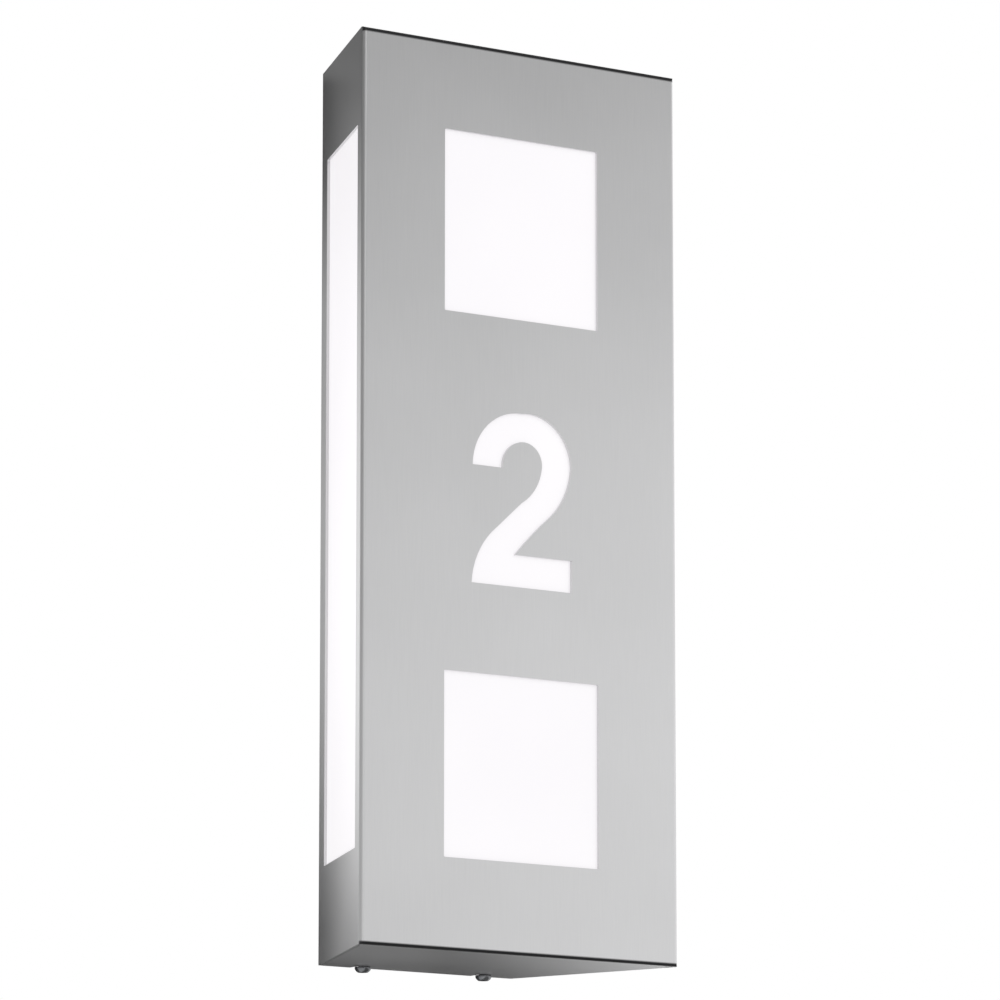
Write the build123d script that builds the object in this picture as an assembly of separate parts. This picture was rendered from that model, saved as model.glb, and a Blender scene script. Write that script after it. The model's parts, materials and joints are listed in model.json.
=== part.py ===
from build123d import *
from math import atan2, cos, hypot, sin, tan
import os

# Illuminated house number sign for a wall.
# Frame: X to the viewer's right, Y into the wall, Z up. The wall is the plane y = 0 and
# the origin is the middle of the face that lies on it. All sizes are in millimetres.

# Folded steel cover
height = 390.0
front_width = 163.0          # between the sharp corners, before they are rounded
rear_width = 98.0
depth = 83.0
sheet = 1.2
bend_radius = 1.7            # outside of each bend
corner_seam = 0.3            # open seam between two folded flanges
corner_relief = 1.6          # radius of the relief hole at the end of a seam
rear_gap = 1.5               # the cover's rear edges stand off the wall
lip_width = 8.0              # inward return along the rear edge of each side

# Cut-outs
window = 79.0
window_margin = 39.0         # from the top and bottom edge
window_corner = 0.6
side_window_front = 9.3      # from the front edge, along the side
side_window_rear = 13.7      # from the rear edge, along the side
side_window_end = 41.0       # from the top and bottom edge
numeral_height = 75.1
numeral_width = 51.4
numeral_drop = 1.1           # its middle, below the middle of the cover

# Opal panes
pane = 3.0
pane_clearance = 0.8
side_pane_end = 14.0         # from the cover's top and bottom edge
stud_radius = 1.5
stud_x = 60.0
stud_end = 20.0              # from the cover's top and bottom edge
side_stud_end = 27.5
stud_projection = 5.6        # past the pane
stud_hole = 0.5              # clearance round a stud, in the pane
clamp_plate = 12.0           # square plates that press on the panes
clamp_plate_thickness = 1.0
nut_size = 5.5               # across the flats
nut_height = 2.4
fastener_clearance = 0.1

# Hanging rod and the hooks that carry it
rod_radius = 2.5
rod_from_wall = 15.0
rod_from_top = 6.5
rod_clearance = 0.1

# Wall bracket
plate = 2.0
bracket_width = 74.0
foot_depth = 20.0
plate_bend = 3.0             # outside of the bracket's bends
ear_front = 22.0             # the hooks reach this far from the wall
ear_drop = 30.5              # the ears reach this far below the rod
ear_relief = 1.5             # slot where each ear's bend ends
ear_rear_drop = 7.5          # top of the ears at the wall, below the rod
ear_rise = 3.3               # tip of the hooks, above the rod
ear_land = 3.4               # land behind the rod: its run, and its depth below the hooks' tips
ear_land_rise = 1.0          # at the rod
hook_lead_in = 1.0           # bevel that guides the rod in, across
hook_lead_in_drop = 0.6
hook_nose = 4.0              # height of the slope at the front of the hooks
ear_taper = 12.0             # height of the slope at the foot of the ears
ear_heel = 4.0               # flat at the foot of the ears, past the bend
wall_slot_x = 27.0
wall_slot_height = 125.0
wall_slot_width = 5.5
wall_slot_length = 12.0

# Cover screws, in rivet nuts
screw_x = 31.0
screw_from_wall = 8.0
screw_radius = 2.0
screw_slot = 5.0             # width of the open slots in the cover
screw_length = 12.0
screw_head_radius = 3.5
screw_head_height = 1.9
screw_head_edge = 0.35
screw_socket = 2.5           # across the flats
screw_socket_depth = 1.2
seal_thickness = 0.3
seal_radius = 3.5
seal_gap = 0.05              # under the screw's head
seal_clearance = 0.25        # to the cover, which dips as it starts to swing
plate_gap = 0.3              # from the cover's bottom plate to the rivet nuts
rivet_nut_wall = 1.0
rivet_nut_head = 4.2
rivet_nut_rim = 0.8
rivet_nut_length = 9.0
rivet_nut_swell = 3.7
rivet_nut_swell_height = 1.5
rivet_nut_swell_slope = 1.0
screw_head_flat = 0.2        # flat end of the head, past the shank's radius
screw_point = 0.4            # chamfer at the end of the shank

# Lampholders, measured along the lamp's axis from the face of their bracket
lamp_from_wall = 43.0
holder_end = 17.0            # bracket face, from the cover's top and bottom edge
arm_width = 40.0
arm_drop = 42.0
arm_stud_x = 14.0
arm_stud_drop = 24.0         # below the leaf
arm_stud_clearance = 0.3
holder_height = 40.0
holder_radius = 20.0
holder_base_radius = 16.5
holder_bore = 14.3
holder_floor = 12.0
holder_flare = 4.0           # slope from the base to the wider body
holder_collar = 8.0          # narrower rim at the mouth
holder_collar_step = 1.5
holder_mouth = 2.2           # half the opening for each lead
holder_mouth_rear = 2.5      # past the end of the lead
shell_recess = 0.5           # from the holder's rim to the shell
shell_radius = 14.2
shell_wall = 0.5
nipple_radius = 5.0
nipple_bore = 3.5
nipple_clearance = 0.1
nipple_inside = 7.0
nipple_outside = 9.0
lock_nut_size = 14.0
lock_nut_height = 3.0
contact_radius = 4.0
contact_thickness = 1.7
contact_edge = 0.8
contact_bevel = 1.0
contact_clearance = 1.0

# Lamps, on the same axis
lamp_seat = 14.0
lamp_cap_radius = 13.1
lamp_cap_start = 19.0
lamp_cap_end = 41.0
lamp_neck_radius = 14.6
lamp_radius = 18.5
lamp_globe_start = 62.0
lamp_end = 118.0
lamp_end_round = 9.0
lamp_neck_height = 2.0
lamp_joint = 0.6             # the housing is this much smaller than the globe
lamp_joint_height = 4.0
lamp_cap_round = 2.6         # the cap narrows by this at its end
lamp_cap_shoulder = 0.5
lamp_cap_lip = 0.3
lamp_tip_radius = 4.5
lamp_tip_height = 1.5
lamp_tip_middle = (2.8, 0.4)
insulator_radius = 4.6
insulator_step = (5.4, 2.6)
insulator_inset = 2.8

# Wiring
block_z = 5.0
block_width = 27.0
block_height = 19.0
block_depth = 13.0
block_screw_x = 4.0           # its fixing screws stand between the poles
block_screw_radius = 0.9
block_screw_head = 1.3
block_screw_sink = 2.0
block_screw_head_height = 1.0
block_round = 1.5
pole_pitch = 8.0
cage = 5.0                   # brass cage of each pole, across
cage_bore = 1.5
cage_inset = 1.0             # from the block's faces
cage_clearance = 0.1
clamp_screw_radius = 1.4
clamp_screw_drop = 4.0       # from the block's ends
clamp_screw_clearance = 0.1
clamp_screw_sink = 1.0       # from the block's face
screw_slot_length = 3.0      # driver slot of the clamp screws
screw_slot_width = 0.4
screw_slot_depth = 0.6
lead_radius = 1.1
lead_bend = 9.0
lead_insertion = 2.2         # depth of each lead in the terminal block
lead_from_wall = 10.0
lead_entry = 5.5             # height of the lead over the holder's base
lead_end = 32.0              # the leads end this far from the wall, in the holder
clip_z = 62.0
clip_width = 25.0
clip_height = 8.0
clip_clearance = 0.15
clip_mouth = 0.8             # half the mouth through which a lead snaps in
clip_bridge = 2.5            # thickness between the two seats
clip_front = 1.5             # front of the clips, past the middle of the leads
clip_round = 1.5
grommet_z = -40.0
grommet_hole = 10.0
grommet_rim = 12.5
grommet_bore = 4.0
grommet_front = 3.0
grommet_recess = 0.2         # from the wall
grommet_rim_height = 2.0
grommet_rim_bevel = 0.8
grommet_collar = 4.0         # length of the collar
grommet_collar_foot = 2.5    # wall of the collar at its foot
grommet_collar_end = 1.5     # and at its end
earth_x = 25.0
earth_z = -24.0
earth_radius = 2.5
earth_length = 16.0
earth_washer = 1.0
earth_nut_size = 8.0
earth_nut_height = 4.0
lug_radius = 5.0
lug_thickness = 0.8
lug_rise = 2.4               # from the web to the middle of the lug's barrel
lug_tongue = 3.6             # width
lug_overlap = 0.7            # of the tongue and the eye
lug_barrel = (7.0, 14.0)     # start and end of the barrel, from the stud
lug_barrel_inset = 0.2
lug_wall = 1.0               # from the end of the bore to the end of the barrel
earth_lead_drop = 9.0        # straight run under the terminal block
earth_lead_end = 8.5         # from the stud
plate_stud_radius = 2.0
plate_stud_length = 11.0
arm_nut_size = 7.0
arm_nut_height = 3.2

side_angle = atan2((front_width - rear_width) / 2, depth)
side_length = hypot((front_width - rear_width) / 2, depth)
rod_y = -rod_from_wall
rod_z = height / 2 - rod_from_top
ear_low = rod_z - ear_drop
ear_rear_top = rod_z - ear_rear_drop
ear_tip = rod_z + ear_rise
holder_base_height = height / 2 - holder_end
arm_reach = lamp_from_wall + holder_radius
screw_y = -screw_from_wall
rivet_nut_radius = screw_radius + rivet_nut_wall
foot_top = -height / 2 + sheet + plate_gap + rivet_nut_rim + plate
lamp_y = -lamp_from_wall


def side_x(y, inset=0.0):
    """Half width of the cover at y, on a surface that lies inset inside its outer face."""
    return front_width / 2 - (y + depth) * tan(side_angle) - inset / cos(side_angle)


def prism(inset, y_rear, z_low, z_high):
    """Trapezoid body whose front and sides lie inset inside the cover's outer faces."""
    y_front = -depth + inset
    outline = Polyline(
        (-side_x(y_front, inset), y_front),
        (side_x(y_front, inset), y_front),
        (side_x(y_rear, inset), y_rear),
        (-side_x(y_rear, inset), y_rear),
        close=True,
    )
    return extrude(Plane.XY.offset(z_low) * make_face(outline), z_high - z_low)


def side_plane(sign, inset=0.0):
    """Plane of a side: x runs from front to rear along it, z points out of the cover."""
    outward = Vector(sign * cos(side_angle), sin(side_angle), 0)
    corner = Vector(sign * front_width / 2, -depth, 0) - outward * inset
    return Plane(corner, x_dir=(-sign * sin(side_angle), cos(side_angle), 0), z_dir=outward)


def cylinder_between(radius, start, end):
    """Round bar from one point to another."""
    axis = Vector(*end) - Vector(*start)
    return extrude(Plane(Vector(*start), z_dir=axis) * Circle(radius), axis.length)


def box_between(low, high):
    """Block given by its lowest and highest corners."""
    centre = [(a + b) / 2 for a, b in zip(low, high)]
    size = [b - a for a, b in zip(low, high)]
    return Pos(*centre) * Box(*size)


def hex_nut(plane, size, thickness, bore):
    """Hexagon nut that lies on a plane and rises along its normal."""
    face = RegularPolygon(size / 2, 6, major_radius=False) - Circle(bore)
    return extrude(plane * face, thickness)


def ring(plane, outer, inner, thickness):
    """Flat ring that lies on a plane and rises along its normal."""
    return extrude(plane * (Circle(outer) - Circle(inner)), thickness)


def numeral():
    """Plain upright numeral two, as a face in X and Z about the origin."""
    w = numeral_width / 2
    h = numeral_height / 2
    stroke = 0.37 * h
    outline = Curve() + [
        Line((-w, -h), (w, -h)),
        Line((w, -h), (w, -h + stroke)),
        Line((w, -h + stroke), (-0.13 * w, -h + stroke)),
        ThreePointArc((-0.13 * w, -h + stroke), (0.22 * w, -0.375 * h), (0.59 * w, -0.145 * h)),
        ThreePointArc((0.59 * w, -0.145 * h), (0.87 * w, 0.11 * h), (w, 0.43 * h)),
        ThreePointArc((w, 0.43 * h), (0.745 * w, 0.84 * h), (0.02 * w, h)),
        ThreePointArc((0.02 * w, h), (-0.71 * w, 0.8 * h), (-0.98 * w, 0.35 * h)),
        Line((-0.98 * w, 0.35 * h), (-0.38 * w, 0.35 * h)),
        ThreePointArc((-0.38 * w, 0.35 * h), (-0.25 * w, 0.59 * h), (0.01 * w, 0.672 * h)),
        ThreePointArc((0.01 * w, 0.672 * h), (0.3 * w, 0.6 * h), (0.405 * w, 0.4 * h)),
        ThreePointArc((0.405 * w, 0.4 * h), (0.3 * w, 0.18 * h), (0.0, -0.03 * h)),
        ThreePointArc((0.0, -0.03 * h), (-0.26 * w, -0.19 * h), (-0.5 * w, -0.34 * h)),
        ThreePointArc((-0.5 * w, -0.34 * h), (-0.85 * w, -0.63 * h), (-w, -h)),
    ]
    return Plane.XZ * make_face(outline)


def front_cut(face):
    """Cutter that carries a face on the XZ plane through the cover's front."""
    return extrude(Pos(0, -depth + sheet + 0.1, 0) * face, sheet + 0.2)


def cover_shell():
    """Front with four folded sides, returned at the rear of the two long ones."""
    top = height / 2
    outer = prism(0, -rear_gap, -top, top)
    front_edges = outer.edges().filter_by_position(Axis.Y, -depth - 0.01, -depth + 0.01)
    outer = fillet(list(front_edges) + list(outer.edges().filter_by(Axis.Z).group_by(Axis.Y)[-1]),
                   bend_radius)
    lip_front = -rear_gap - sheet
    inner = prism(sheet, lip_front, -top + sheet, top - sheet)
    inside = inner.edges().filter_by_position(
        Axis.Y, -depth + sheet - 0.01, -depth + sheet + 0.01)
    inner = fillet(list(inside) + list(inner.edges().filter_by(Axis.Z).group_by(Axis.Y)[-1]),
                   bend_radius - sheet)
    opening = side_x(-rear_gap) - lip_width
    mouth = box_between((-opening, lip_front - 1, -top + sheet), (opening, 1, top - sheet))
    shell = outer - inner - mouth

    seam_front = -depth + bend_radius + corner_relief
    for end in (-1, 1):
        low, high = sorted((end * (top - sheet - corner_seam), end * (top + 1)))
        between = prism(sheet, 1, low, high) - prism(sheet + corner_seam, 1, low - 1, high + 1)
        between -= box_between((-front_width, -depth - 1, low - 1),
                               (front_width, seam_front, high + 1))
        shell -= between
        lip_low, lip_high = sorted((end * (top - sheet), end * (top - sheet - corner_seam)))
        rear = box_between((-rear_width, lip_front, lip_low), (rear_width, 1, lip_high))
        shell -= rear & prism(sheet, 1, -top, top)
        for sign in (-1, 1):
            x = sign * (side_x(seam_front, sheet) - corner_relief / 2)
            relief = Cylinder(corner_relief, 2 * sheet)
            shell -= Pos(x, seam_front, end * (top - sheet / 2)) * relief

    for end in (-1, 1):
        z = end * (top - window_margin - window / 2)
        face = Plane.XZ * RectangleRounded(window, window, window_corner)
        shell -= front_cut(Pos(0, 0, z) * face)
    shell -= front_cut(Pos(0, 0, -numeral_drop) * numeral())

    side_width = side_length - side_window_front - side_window_rear
    side_height = height - 2 * side_window_end
    for sign in (-1, 1):
        at = side_plane(sign, sheet + 0.1) * Pos(side_window_front + side_width / 2, 0, 0)
        shell -= extrude(at * RectangleRounded(side_width, side_height, window_corner), sheet + 0.2)

    for x in (-screw_x, screw_x):
        slot = box_between((x - screw_slot / 2, screw_y, -top - 1),
                           (x + screw_slot / 2, 1, -top + sheet + 0.1))
        round_end = cylinder_between(screw_slot / 2, (x, screw_y, -top - 1),
                                     (x, screw_y, -top + sheet + 0.1))
        shell -= slot + round_end
    return shell


def stud_planes():
    """Planes on the inside of the cover, one at each pane stud, normal into the cover."""
    planes = []
    top_stud = height / 2 - stud_end
    for z in (-top_stud, 0, top_stud):
        for x in (-stud_x, stud_x):
            planes.append(Plane((x, -depth + sheet, z), x_dir=(1, 0, 0), z_dir=(0, 1, 0)))
    middle = side_length / 2
    for sign in (-1, 1):
        for z in (side_stud_end - height / 2, height / 2 - side_stud_end):
            side = side_plane(sign, sheet)
            at = side.from_local_coords((middle, 0, 0)) + Vector(0, 0, z)
            planes.append(Plane(at, x_dir=side.x_dir, z_dir=-side.z_dir))
    return planes


def pane_studs():
    return Compound(children=[
        extrude(plane * Circle(stud_radius), pane + stud_projection) for plane in stud_planes()])


def pane_clamp_plates():
    hole = Circle(stud_radius + fastener_clearance)
    face = Rectangle(clamp_plate, clamp_plate) - hole
    return Compound(children=[
        extrude(plane.offset(pane) * face, clamp_plate_thickness) for plane in stud_planes()])


def pane_nuts():
    bore = stud_radius + fastener_clearance
    return Compound(children=[
        hex_nut(plane.offset(pane + clamp_plate_thickness), nut_size, nut_height, bore)
        for plane in stud_planes()])


def drilled_for_studs(body):
    """Leave clearance holes in a pane where the studs pass."""
    for plane in stud_planes():
        body -= extrude(plane.offset(-1) * Circle(stud_radius + stud_hole), pane + 2)
    return body


def front_pane():
    half = side_x(-depth + sheet + pane, sheet) - pane_clearance
    top = height / 2 - sheet - bend_radius
    blank = box_between((-half, -depth + sheet, -top), (half, -depth + sheet + pane, top))
    return drilled_for_studs(blank)


def side_pane(sign):
    lean = sin(side_angle)
    start = (sheet + pane + pane_clearance + lean * (sheet + pane)) / cos(side_angle)
    end = (depth - rear_gap - sheet - pane_clearance + lean * sheet) / cos(side_angle)
    tall = height - 2 * side_pane_end
    at = side_plane(sign, sheet + pane) * Pos((start + end) / 2, 0, 0)
    return drilled_for_studs(extrude(at * Rectangle(end - start, tall), pane))


def hanging_rod():
    half = front_width / 2
    bar = cylinder_between(rod_radius, (-half, rod_y, rod_z), (half, rod_y, rod_z))
    return bar & prism(sheet, 1, -height, height)


def bracket_ears():
    """Two ears folded forward at the top of the bracket, each with a hook for the hanging rod."""
    half = bracket_width / 2
    blank = box_between((-half, -ear_front, ear_low), (half, 0, ear_tip))
    blank = fillet(blank.edges().filter_by(Axis.Z).group_by(Axis.Y)[-1], plate_bend)
    core = box_between((-half + plate, -ear_front - 1, ear_low - 1),
                       (half - plate, -plate, ear_tip + 1))
    core = fillet(core.edges().filter_by(Axis.Z).group_by(Axis.Y)[-1], plate_bend - plate)
    notch = rod_radius + rod_clearance
    rear, front = rod_y + notch, rod_y - notch
    land = ear_tip - ear_land
    outline = Polyline(
        (0, ear_rear_top), (-plate, ear_rear_top), (rear + ear_land, land),
        (rear, land + ear_land_rise), (rear, rod_z), (front, rod_z),
        (front, ear_tip - hook_lead_in_drop), (front - hook_lead_in, ear_tip),
        (-ear_front, ear_tip - hook_nose), (-ear_front, ear_low + ear_taper),
        (-plate_bend - ear_heel, ear_low), (0, ear_low), close=True)
    side = extrude(Plane.YZ * make_face(outline), half, both=True)
    seat = cylinder_between(notch, (-half, rod_y, rod_z), (half, rod_y, rod_z))
    return ((blank - core) & side) - seat


def bracket_web():
    """Flat web with the foot for the cover screws folded forward at its lower end."""
    half = bracket_width / 2
    low = foot_top - plate
    profile = Polyline(
        (0, low), (0, ear_low), (-plate, ear_low), (-plate, foot_top), (-foot_depth, foot_top),
        (-foot_depth, low), close=True)
    body = extrude(Plane.YZ * make_face(profile), half, both=True)
    outside = body.edges().filter_by(Axis.X).sort_by_distance((0, 0, low))[0]
    body = fillet(outside, plate_bend)
    inside = body.edges().filter_by(Axis.X).sort_by_distance((0, -plate, foot_top))[0]
    body = fillet(inside, plate_bend - plate)
    for sign in (-1, 1):
        outer = sign * (half + 1)
        inner = sign * (half - plate_bend)
        low_x, high_x = sorted((outer, inner))
        body -= box_between((low_x, -2 * plate, ear_low - ear_relief), (high_x, plate, ear_low + 1))
    return body


def wall_slots():
    cutters = []
    for x in (-wall_slot_x, wall_slot_x):
        for z in (-wall_slot_height, wall_slot_height):
            slot = Plane.XZ * SlotOverall(wall_slot_length, wall_slot_width)
            cutters.append(Pos(x, 0, z) * extrude(slot, 2 * plate, both=True))
    return cutters


def arm_stud_places():
    """Middles of the clinch studs that hold the lampholder arms, as x and z."""
    stud_height = holder_base_height - arm_stud_drop
    return [(x, end * stud_height) for end in (-1, 1) for x in (-arm_stud_x, arm_stud_x)]


def wall_bracket():
    body = bracket_web() + bracket_ears()
    for cutter in wall_slots():
        body -= cutter
    body -= cylinder_between(grommet_hole, (0, -2 * plate, grommet_z), (0, plate, grommet_z))
    for x, z in arm_stud_places():
        body -= cylinder_between(plate_stud_radius, (x, -2 * plate, z), (x, plate, z))
    body -= cylinder_between(earth_radius, (earth_x, -2 * plate, earth_z),
                             (earth_x, plate, earth_z))
    for x in (-block_screw_x, block_screw_x):
        body -= cylinder_between(block_screw_radius, (x, -2 * plate, block_z), (x, plate, block_z))
    for x in (-screw_x, screw_x):
        body -= cylinder_between(rivet_nut_radius, (x, screw_y, foot_top - 2 * plate),
                                 (x, screw_y, foot_top + 1))
    return body


def cable_grommet():
    face = plate + grommet_front
    end = face + grommet_collar
    outline = Polyline(
        (grommet_bore, grommet_recess), (grommet_hole, grommet_recess), (grommet_hole, plate),
        (grommet_rim, plate), (grommet_rim - grommet_rim_bevel, plate + grommet_rim_height),
        (grommet_bore + grommet_collar_foot, face), (grommet_bore + grommet_collar_end, end),
        (grommet_bore, end), close=True)
    body = revolve(make_face(outline), Axis.Y)
    return Pos(0, 0, grommet_z) * (Rot(180, 0, 0) * body)


def axial(profile, end):
    """Turn a profile of (radius, distance along the lamp's axis) into a round body.

    end is 1 for the upper lamp, which points down, and -1 for the lower one.
    """
    body = revolve(Plane.XZ * make_face(profile), Axis.Z)
    turn = Rot(180, 0, 0) if end > 0 else Rot(0, 0, 0)
    return Pos(0, lamp_y, end * holder_base_height) * (turn * body)


def holder_body(end):
    r = holder_radius
    rim = r - holder_collar_step
    collar = holder_height - holder_collar
    hole = nipple_radius + nipple_clearance
    outline = Polyline(
        (hole, 0), (holder_base_radius, 0), (holder_base_radius, holder_floor - holder_flare),
        (r, holder_floor), (r, collar), (rim, collar + holder_collar_step), (rim, holder_height),
        (holder_bore, holder_height), (holder_bore, holder_floor),
        (contact_radius + contact_clearance, holder_floor), (hole, nipple_inside + 1), close=True)
    body = axial(outline, end)
    z = end * (holder_base_height - lead_entry)
    half = holder_mouth
    for x in (-pole_pitch, pole_pitch):
        body -= box_between((x - half, -lead_end - holder_mouth_rear, z - half),
                            (x + half, -lamp_from_wall + r, z + half))
    return body


def screw_shell(end):
    inner = shell_radius - shell_wall
    rim = holder_height - shell_recess
    outline = Polyline(
        (inner, lamp_seat), (shell_radius, lamp_seat), (shell_radius, rim), (inner, rim),
        close=True)
    return axial(outline, end)


def centre_contact(end):
    low = holder_floor
    top = low + contact_thickness
    outline = Polyline(
        (0, low), (contact_radius, low), (contact_radius, low + contact_edge),
        (contact_radius - contact_bevel, top), (0, top), close=True)
    return axial(outline, end)


def nipple(end):
    outline = Polyline(
        (nipple_bore, -nipple_outside), (nipple_radius, -nipple_outside),
        (nipple_radius, nipple_inside), (nipple_bore, nipple_inside), close=True)
    return axial(outline, end)


def lock_nut(end):
    z = end * (holder_base_height + plate)
    level = Plane((0, lamp_y, z), z_dir=(0, 0, end))
    return hex_nut(level, lock_nut_size, lock_nut_height, nipple_radius + fastener_clearance)


def holder_arm(end):
    """Angle that carries a lampholder: a foot on the bracket's web and a forward leaf."""
    leaf = box_between((-arm_width / 2, -arm_reach, 0), (arm_width / 2, -plate, plate))
    foot = box_between((-arm_width / 2, -2 * plate, -arm_drop), (arm_width / 2, -plate, plate))
    arm = leaf + foot
    outside = arm.edges().filter_by(Axis.X).sort_by_distance((0, -plate, plate))[0]
    arm = fillet(outside, plate_bend)
    inside = arm.edges().filter_by(Axis.X).sort_by_distance((0, -2 * plate, 0))[0]
    arm = fillet(inside, plate_bend - plate)
    corners = arm.edges().filter_by(Axis.Z).group_by(Axis.Y)[0]
    arm = fillet(corners, 3 * plate)
    toes = arm.edges().filter_by(Axis.Y).group_by(Axis.Z)[0]
    arm = fillet(toes, 2 * plate)
    arm -= cylinder_between(nipple_radius + nipple_clearance,
                            (0, lamp_y, -plate), (0, lamp_y, 2 * plate))
    for x in (-arm_stud_x, arm_stud_x):
        arm -= cylinder_between(plate_stud_radius + arm_stud_clearance,
                                (x, -3 * plate, -arm_stud_drop), (x, 0, -arm_stud_drop))
    if end < 0:
        arm = mirror(arm, Plane.XY)
    return Pos(0, 0, end * holder_base_height) * arm


def arm_studs():
    return Compound(children=[
        cylinder_between(plate_stud_radius, (x, 0, z), (x, -plate_stud_length, z))
        for x, z in arm_stud_places()])


def arm_nuts():
    bore = plate_stud_radius + fastener_clearance
    return Compound(children=[
        hex_nut(Plane((x, -2 * plate, z), x_dir=(1, 0, 0), z_dir=(0, -1, 0)),
                arm_nut_size, arm_nut_height, bore)
        for x, z in arm_stud_places()])


def rivet_nuts():
    low = foot_top - plate - rivet_nut_rim
    swell_top = foot_top + rivet_nut_swell_height
    parts = []
    for x in (-screw_x, screw_x):
        outline = Polyline(
            (screw_radius + fastener_clearance, low), (rivet_nut_head, low),
            (rivet_nut_head, foot_top - plate), (rivet_nut_radius, foot_top - plate),
            (rivet_nut_radius, foot_top), (rivet_nut_swell, foot_top + 0.01),
            (rivet_nut_swell, swell_top), (rivet_nut_radius, swell_top + rivet_nut_swell_slope),
            (rivet_nut_radius, low + rivet_nut_length),
            (screw_radius + fastener_clearance, low + rivet_nut_length),
            close=True)
        parts.append(Pos(x, screw_y, 0) * revolve(Plane.XZ * make_face(outline), Axis.Z))
    return Compound(children=parts)


def seal_washer(sign):
    top = -height / 2 - seal_clearance
    level = Plane((sign * screw_x, screw_y, top), z_dir=(0, 0, -1))
    return ring(level, seal_radius, screw_radius + fastener_clearance, seal_thickness)


def cover_screw(sign):
    """Button-head screw with a hexagon socket, head down."""
    r = screw_head_radius
    crown = -screw_head_height
    flat = screw_radius + screw_head_flat
    outline = Curve() + [
        Line((0, 0), (r, 0)),
        Line((r, 0), (r, -screw_head_edge)),
        ThreePointArc((r, -screw_head_edge), (0.82 * r, 0.72 * crown), (flat, crown)),
        Line((flat, crown), (0, crown)),
        Line((0, crown), (0, 0)),
    ]
    head = revolve(Plane.XZ * make_face(outline), Axis.Z)
    socket = RegularPolygon(screw_socket / 2, 6, major_radius=False)
    head -= extrude(Plane.XY.offset(crown) * socket, screw_socket_depth)
    shank = Plane.XY.offset(-0.1) * Circle(screw_radius)
    screw = head + extrude(shank, screw_length + 0.1)
    tip = screw.edges().group_by(Axis.Z)[-1]
    screw = chamfer(tip, screw_point)
    top = -height / 2 - seal_clearance - seal_thickness - seal_gap
    return Pos(sign * screw_x, screw_y, top) * screw


def lamp_globe(end):
    r = lamp_radius
    e = lamp_end
    k = lamp_end_round
    outline = Curve() + [
        Line((0, lamp_globe_start), (r, lamp_globe_start)),
        Line((r, lamp_globe_start), (r, e - k)),
        RadiusArc((r, e - k), (r - k, e), -k),
        Line((r - k, e), (0, e)),
        Line((0, e), (0, lamp_globe_start)),
    ]
    return axial(outline, end)


def lamp_housing(end):
    start, end_face = lamp_cap_end, lamp_globe_start
    joint = lamp_radius - lamp_joint
    outline = Polyline(
        (0, start), (lamp_neck_radius, start), (lamp_neck_radius, start + lamp_neck_height),
        (joint, end_face - lamp_joint_height), (joint, end_face), (0, end_face), close=True)
    return axial(outline, end)


def lamp_cap(end):
    r = lamp_cap_radius
    low, high = lamp_cap_start, lamp_cap_end
    lip = r + lamp_cap_lip
    outline = Polyline(
        (0, low), (r - lamp_cap_round, low), (r - lamp_cap_shoulder, low + 3), (r, low + 4),
        (r, high - 2), (lip, high - 1), (lip, high), (0, high), close=True)
    return axial(outline, end)


def lamp_insulator(end):
    low = lamp_seat + lamp_tip_height
    step_radius, step_rise = insulator_step
    outline = Polyline(
        (0, low), (insulator_radius, low), (step_radius, lamp_seat + step_rise),
        (lamp_cap_radius - insulator_inset, lamp_cap_start), (0, lamp_cap_start), close=True)
    return axial(outline, end)


def lamp_tip(end):
    r = lamp_tip_radius
    high = lamp_seat + lamp_tip_height
    middle, rise = lamp_tip_middle
    outline = Curve() + [
        ThreePointArc((0, lamp_seat), (middle, lamp_seat + rise), (r, high)),
        Line((r, high), (0, high)),
        Line((0, high), (0, lamp_seat)),
    ]
    return axial(outline, end)


def pole_places():
    return (-pole_pitch, 0.0, pole_pitch)


def clamp_levels():
    """Heights of the two rows of clamp screws."""
    reach = block_height / 2 - clamp_screw_drop
    return (block_z - reach, block_z + reach)


def terminal_block():
    low = block_z - block_height / 2
    high = block_z + block_height / 2
    front = -plate - block_depth
    body = box_between((-block_width / 2, front, low), (block_width / 2, -plate, high))
    body = fillet(body.edges().filter_by(Axis.Z).group_by(Axis.Y)[0], block_round)
    for x in (-block_screw_x, block_screw_x):
        body -= cylinder_between(block_screw_radius, (x, front - 1, block_z), (x, 0, block_z))
        body -= cylinder_between(block_screw_head + cage_clearance, (x, front - 1, block_z),
                                 (x, front + block_screw_sink, block_z))
    half = cage / 2 + cage_clearance
    for x in pole_places():
        body -= box_between((x - half, -lead_from_wall - half, low - 1),
                            (x + half, -lead_from_wall + half, high + 1))
        for z in clamp_levels():
            body -= cylinder_between(clamp_screw_radius + cage_clearance, (x, front - 1, z),
                                     (x, -lead_from_wall, z))
    return body


def terminal_cages():
    """Brass cages in the terminal block, one for each pole."""
    low = block_z - block_height / 2 + cage_inset
    high = block_z + block_height / 2 - cage_inset
    half = cage / 2
    parts = []
    for x in pole_places():
        body = box_between((x - half, -lead_from_wall - half, low),
                           (x + half, -lead_from_wall + half, high))
        body -= cylinder_between(cage_bore, (x, -lead_from_wall, low - 1),
                                 (x, -lead_from_wall, high + 1))
        for z in clamp_levels():
            body -= cylinder_between(clamp_screw_radius, (x, -lead_from_wall - cage, z),
                                     (x, -lead_from_wall, z))
        parts.append(body)
    return Compound(children=parts)


def terminal_screws():
    front = -plate - block_depth
    head = front + clamp_screw_sink
    parts = []
    for x in pole_places():
        for z in clamp_levels():
            screw = cylinder_between(clamp_screw_radius - clamp_screw_clearance, (x, head, z),
                                     (x, -lead_from_wall - cage_bore, z))
            parts.append(screw - box_between(
                (x - screw_slot_length / 2, front, z - screw_slot_width / 2),
                (x + screw_slot_length / 2, head + screw_slot_depth, z + screw_slot_width / 2)))
    return Compound(children=parts)


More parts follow.
